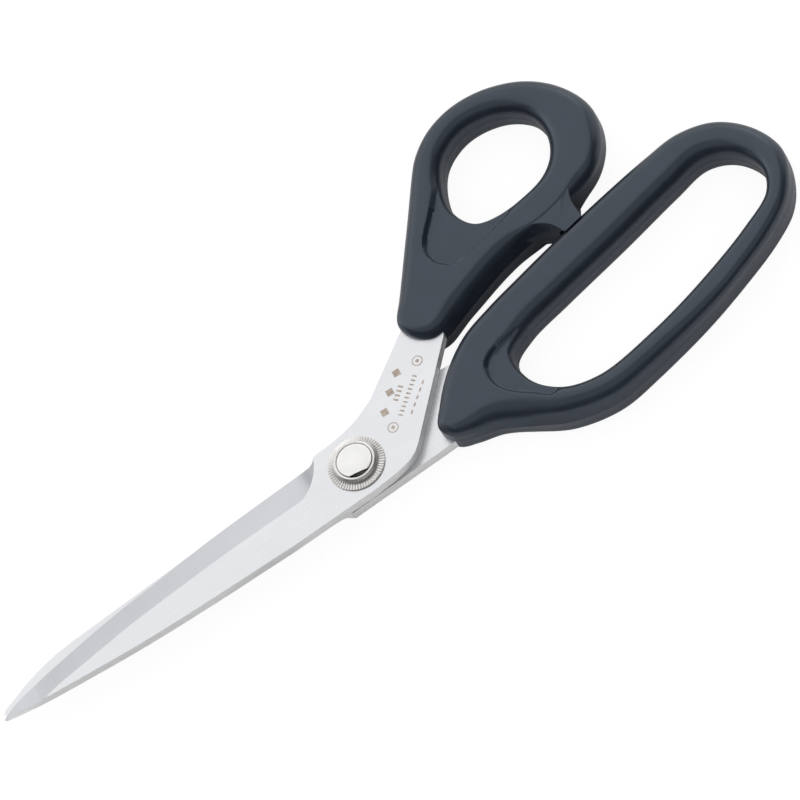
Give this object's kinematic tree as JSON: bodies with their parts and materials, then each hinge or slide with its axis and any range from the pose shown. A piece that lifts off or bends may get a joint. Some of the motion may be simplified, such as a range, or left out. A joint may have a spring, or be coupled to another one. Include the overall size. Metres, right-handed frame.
{
  "type": "fabric shears",
  "caption": "Bent-handle dressmaking shears: bevelled steel blades on an adjustable screw pivot, with moulded thumb and finger loops.",
  "frame": {"origin": "middle of the base of the whole box, with the shears closed and lying on their finger-blade side", "axes": "+X from the blade tips to the handles, +Y towards the thumb loop, +Z along the pivot axis towards the tension nut"},
  "size_m": [0.2406, 0.098, 0.012],
  "materials": {
    "blade_steel": "fine satin, brushed across the blade, with a slightly darker ground bevel",
    "grip_plastic": "smooth matte moulding in dark slate",
    "nickel": "polished nickel plate, slightly warm",
    "spring_steel": "bare spring steel",
    "washer_brass": "bare rolled brass"
  },
  "bodies": {
    "finger_side": {"finger_blade": "blade_steel", "finger_handle": "grip_plastic", "pivot_bolt": "nickel", "disc_spring": "spring_steel", "glide_washer": "washer_brass", "key_washer": "spring_steel"},
    "thumb_side": {"thumb_blade": "blade_steel", "thumb_handle": "grip_plastic"},
    "nut": {"tension_nut": "nickel"}
  },
  "joints": [
    {"name": "blade_pivot", "type": "hinge", "parent": "finger_side", "child": "thumb_side", "pos_m": [-0.01165, -0.0221, 0.006], "axis": [0, 0, 1], "range_deg": [0, 60]},
    {"name": "nut_turn", "type": "hinge", "parent": "finger_side", "child": "nut", "pos_m": [-0.01165, -0.0221, 0.01], "axis": [0, 0, 1], "range_deg": [-90, 90]}
  ]
}
